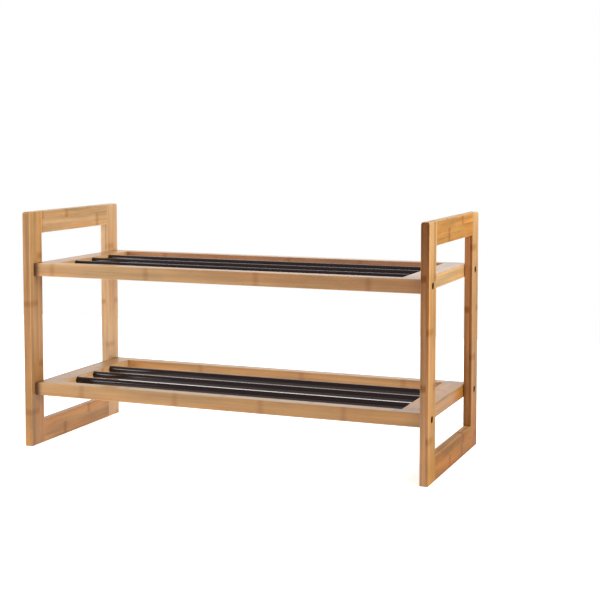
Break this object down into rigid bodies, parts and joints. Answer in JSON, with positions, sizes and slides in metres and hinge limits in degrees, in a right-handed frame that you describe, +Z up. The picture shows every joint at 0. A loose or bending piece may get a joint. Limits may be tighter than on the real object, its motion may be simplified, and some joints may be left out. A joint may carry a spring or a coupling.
{
  "type": "tiered shoe rack",
  "caption": "Open shoe rack: upright bamboo side frames with handle openings carry bolted bamboo shelves fitted with dark metal rods.",
  "frame": {"origin": "on the floor, under the middle of the rack", "axes": "+X along the shelves towards the right side frame, +Y towards the back, +Z up"},
  "size_m": [0.73, 0.304, 0.41],
  "materials": {
    "bamboo": "laminated bamboo strips, sanded, clear satin varnish",
    "dowel_wood": "plain turned hardwood",
    "dark_metal": "dark brown-black satin paint",
    "black_steel": "black oxide",
    "brass": "plain"
  },
  "bodies": {
    "root": {"left_frame_bottom_rail": "bamboo", "left_frame_front_stile": "bamboo", "left_frame_rear_stile": "bamboo", "left_frame_top_rail": "bamboo", "lower_left_back_bolt": "black_steel", "lower_left_back_dowel": "dowel_wood", "lower_left_back_insert": "brass", "lower_left_front_bolt": "black_steel", "lower_left_front_dowel": "dowel_wood", "lower_left_front_insert": "brass", "lower_right_back_bolt": "black_steel", "lower_right_back_dowel": "dowel_wood", "lower_right_back_insert": "brass", "lower_right_front_bolt": "black_steel", "lower_right_front_dowel": "dowel_wood", "lower_right_front_insert": "brass", "lower_shelf_back_rail": "bamboo", "lower_shelf_back_rod": "dark_metal", "lower_shelf_front_rail": "bamboo", "lower_shelf_front_rod": "dark_metal", "lower_shelf_left_end_board": "bamboo", "lower_shelf_middle_rod": "dark_metal", "lower_shelf_right_end_board": "bamboo", "right_frame_bottom_rail": "bamboo", "right_frame_front_stile": "bamboo", "right_frame_rear_stile": "bamboo", "right_frame_top_rail": "bamboo", "upper_left_back_bolt": "black_steel", "upper_left_back_dowel": "dowel_wood", "upper_left_back_insert": "brass", "upper_left_front_bolt": "black_steel", "upper_left_front_dowel": "dowel_wood", "upper_left_front_insert": "brass", "upper_right_back_bolt": "black_steel", "upper_right_back_dowel": "dowel_wood", "upper_right_back_insert": "brass", "upper_right_front_bolt": "black_steel", "upper_right_front_dowel": "dowel_wood", "upper_right_front_insert": "brass", "upper_shelf_back_rail": "bamboo", "upper_shelf_back_rod": "dark_metal", "upper_shelf_front_rail": "bamboo", "upper_shelf_front_rod": "dark_metal", "upper_shelf_left_end_board": "bamboo", "upper_shelf_middle_rod": "dark_metal", "upper_shelf_right_end_board": "bamboo"}
  },
  "joints": []
}
